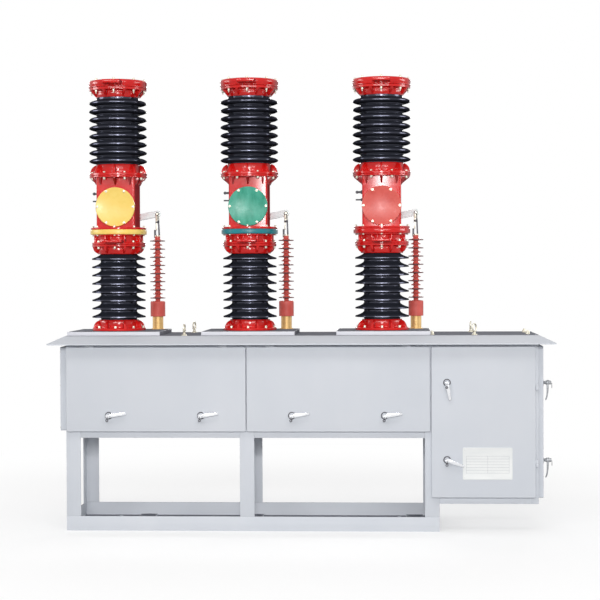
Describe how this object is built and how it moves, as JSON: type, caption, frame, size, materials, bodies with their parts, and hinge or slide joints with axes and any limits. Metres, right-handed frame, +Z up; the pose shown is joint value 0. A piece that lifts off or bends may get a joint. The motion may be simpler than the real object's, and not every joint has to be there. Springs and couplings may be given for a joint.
{
  "type": "outdoor vacuum circuit breaker",
  "caption": "Three-pole outdoor vacuum circuit breaker: ribbed black insulator columns with cranked pull rods on a sheet-steel cabinet and an angle-iron stand.",
  "frame": {"origin": "on the ground, at the centre of the stand and of its four anchor holes", "axes": "+Z up, +X to the right along the cabinet towards the mechanism box, -Y to the front with the doors and phase covers"},
  "size_m": [2.601, 0.728, 2.356],
  "materials": {
    "cabinet_paint": "light cool grey powder coat, satin",
    "red_casting": "glossy red enamel on castings",
    "black_insulator": "glossy black moulded sheds",
    "phase_yellow": "semi-gloss yellow enamel",
    "phase_green": "semi-gloss green enamel",
    "phase_red": "semi-gloss pinkish red enamel",
    "ring_teal": "glossy teal enamel",
    "galvanised_steel": "zinc plated, lightly mottled",
    "chrome_handle": "polished plating",
    "brass": "satin turned brass",
    "rod_insulator": "satin brick red silicone",
    "plate_aluminium": "bare pale plate"
  },
  "bodies": {
    "frame": {"base_long_rails": "cabinet_paint", "base_cross_members": "cabinet_paint", "front_posts": "cabinet_paint", "rear_posts": "cabinet_paint", "cabinet_bottom_rails": "cabinet_paint", "cabinet_top_rails": "cabinet_paint", "cabinet_floor": "cabinet_paint", "rear_covers": "cabinet_paint", "left_end_cover": "cabinet_paint", "box_corner_posts": "cabinet_paint", "box_rails": "cabinet_paint", "box_left_wall": "cabinet_paint", "box_back_wall": "cabinet_paint", "box_floor": "cabinet_paint", "roof_top": "cabinet_paint", "roof_eaves": "cabinet_paint", "pole_plates": "cabinet_paint", "lifting_eyes": "galvanised_steel", "door_hinges": "galvanised_steel", "lower_insulators": "black_insulator", "lower_insulator_flanges": "red_casting", "terminal_spools": "red_casting", "phase_ring_a": "phase_yellow", "phase_ring_b": "ring_teal", "phase_ring_c": "red_casting", "crank_housings": "red_casting", "side_fittings": "galvanised_steel", "phase_cover_a": "phase_yellow", "phase_cover_b": "phase_green", "phase_cover_c": "phase_red", "upper_insulators": "black_insulator", "upper_insulator_flanges": "red_casting", "top_caps": "red_casting", "guide_tubes": "brass"},
    "front_cover_left": {"front_cover_left": "cabinet_paint"},
    "front_cover_right": {"front_cover_right": "cabinet_paint"},
    "mechanism_door": {"mechanism_door": "cabinet_paint", "nameplate": "plate_aluminium"},
    "side_door": {"side_door": "cabinet_paint"},
    "cover_handle_1": {"cover_handle_1": "chrome_handle"},
    "cover_handle_2": {"cover_handle_2": "chrome_handle"},
    "cover_handle_3": {"cover_handle_3": "chrome_handle"},
    "cover_handle_4": {"cover_handle_4": "chrome_handle"},
    "door_handle_upper": {"door_handle_upper": "chrome_handle"},
    "door_handle_lower": {"door_handle_lower": "chrome_handle"},
    "side_handle_upper": {"side_handle_upper": "chrome_handle"},
    "side_handle_lower": {"side_handle_lower": "chrome_handle"},
    "crank_arm_a": {"crank_arm_a": "galvanised_steel"},
    "pull_rod_a": {"pull_rod_a": "rod_insulator"},
    "crank_arm_b": {"crank_arm_b": "galvanised_steel"},
    "pull_rod_b": {"pull_rod_b": "rod_insulator"},
    "crank_arm_c": {"crank_arm_c": "galvanised_steel"},
    "pull_rod_c": {"pull_rod_c": "rod_insulator"}
  },
  "joints": [
    {"name": "front_cover_left_hinge", "type": "hinge", "parent": "frame", "child": "front_cover_left", "pos_m": [-0.494, -0.3034, 0.956], "axis": [-1, 0, 0], "range_deg": [0, 85]},
    {"name": "front_cover_right_hinge", "type": "hinge", "parent": "frame", "child": "front_cover_right", "pos_m": [0.446, -0.3034, 0.956], "axis": [-1, 0, 0], "range_deg": [0, 85]},
    {"name": "mechanism_door_hinge", "type": "hinge", "parent": "frame", "child": "mechanism_door", "pos_m": [1.461, -0.292, 0.5505], "axis": [0, 0, 1], "range_deg": [0, 110]},
    {"name": "side_door_hinge", "type": "hinge", "parent": "frame", "child": "side_door", "pos_m": [1.481, 0.249, 0.5505], "axis": [0, 0, 1], "range_deg": [0, 110]},
    {"name": "cover_handle_1_turn", "type": "hinge", "parent": "front_cover_left", "child": "cover_handle_1", "pos_m": [-0.738, -0.3054, 0.598], "axis": [0, 1, 0], "range_deg": [0, 90]},
    {"name": "cover_handle_2_turn", "type": "hinge", "parent": "front_cover_left", "child": "cover_handle_2", "pos_m": [-0.261, -0.3054, 0.598], "axis": [0, 1, 0], "range_deg": [0, 90]},
    {"name": "cover_handle_3_turn", "type": "hinge", "parent": "front_cover_right", "child": "cover_handle_3", "pos_m": [0.208, -0.3054, 0.598], "axis": [0, 1, 0], "range_deg": [0, 90]},
    {"name": "cover_handle_4_turn", "type": "hinge", "parent": "front_cover_right", "child": "cover_handle_4", "pos_m": [0.684, -0.3054, 0.598], "axis": [0, 1, 0], "range_deg": [0, 90]},
    {"name": "door_handle_lower_turn", "type": "hinge", "parent": "mechanism_door", "child": "door_handle_lower", "pos_m": [1.002, -0.3054, 0.372], "axis": [0, 1, 0], "range_deg": [0, 70]},
    {"name": "door_handle_upper_turn", "type": "hinge", "parent": "mechanism_door", "child": "door_handle_upper", "pos_m": [1.002, -0.3054, 0.767], "axis": [0, 1, 0], "range_deg": [-80, 0]},
    {"name": "side_handle_lower_turn", "type": "hinge", "parent": "side_door", "child": "side_handle_lower", "pos_m": [1.4974, -0.19, 0.36], "axis": [1, 0, 0], "range_deg": [0, 90]},
    {"name": "side_handle_upper_turn", "type": "hinge", "parent": "side_door", "child": "side_handle_upper", "pos_m": [1.4974, -0.19, 0.76], "axis": [1, 0, 0], "range_deg": [0, 90]},
    {"name": "crank_arm_a_swing", "type": "hinge", "parent": "frame", "child": "crank_arm_a", "pos_m": [-0.729, 0.2, 1.618], "axis": [0, 1, 0], "range_deg": [0, 20]},
    {"name": "crank_arm_b_swing", "type": "hinge", "parent": "frame", "child": "crank_arm_b", "pos_m": [-0.029, 0.2, 1.618], "axis": [0, 1, 0], "range_deg": [0, 20]},
    {"name": "crank_arm_c_swing", "type": "hinge", "parent": "frame", "child": "crank_arm_c", "pos_m": [0.671, 0.2, 1.618], "axis": [0, 1, 0], "range_deg": [0, 20]},
    {"name": "pull_rod_a_stroke", "type": "slide", "parent": "frame", "child": "pull_rod_a", "axis": [0, 0, -1], "range_m": [0, 0.064]},
    {"name": "pull_rod_b_stroke", "type": "slide", "parent": "frame", "child": "pull_rod_b", "axis": [0, 0, -1], "range_m": [0, 0.064]},
    {"name": "pull_rod_c_stroke", "type": "slide", "parent": "frame", "child": "pull_rod_c", "axis": [0, 0, -1], "range_m": [0, 0.064]}
  ],
  "couplings": [
    {"joint": "crank_arm_b_swing", "follows": "crank_arm_a_swing", "ratio": 1},
    {"joint": "crank_arm_c_swing", "follows": "crank_arm_a_swing", "ratio": 1},
    {"joint": "pull_rod_a_stroke", "follows": "crank_arm_a_swing", "m_per_rad": 0.1833},
    {"joint": "pull_rod_b_stroke", "follows": "crank_arm_a_swing", "m_per_rad": 0.1833},
    {"joint": "pull_rod_c_stroke", "follows": "crank_arm_a_swing", "m_per_rad": 0.1833}
  ]
}
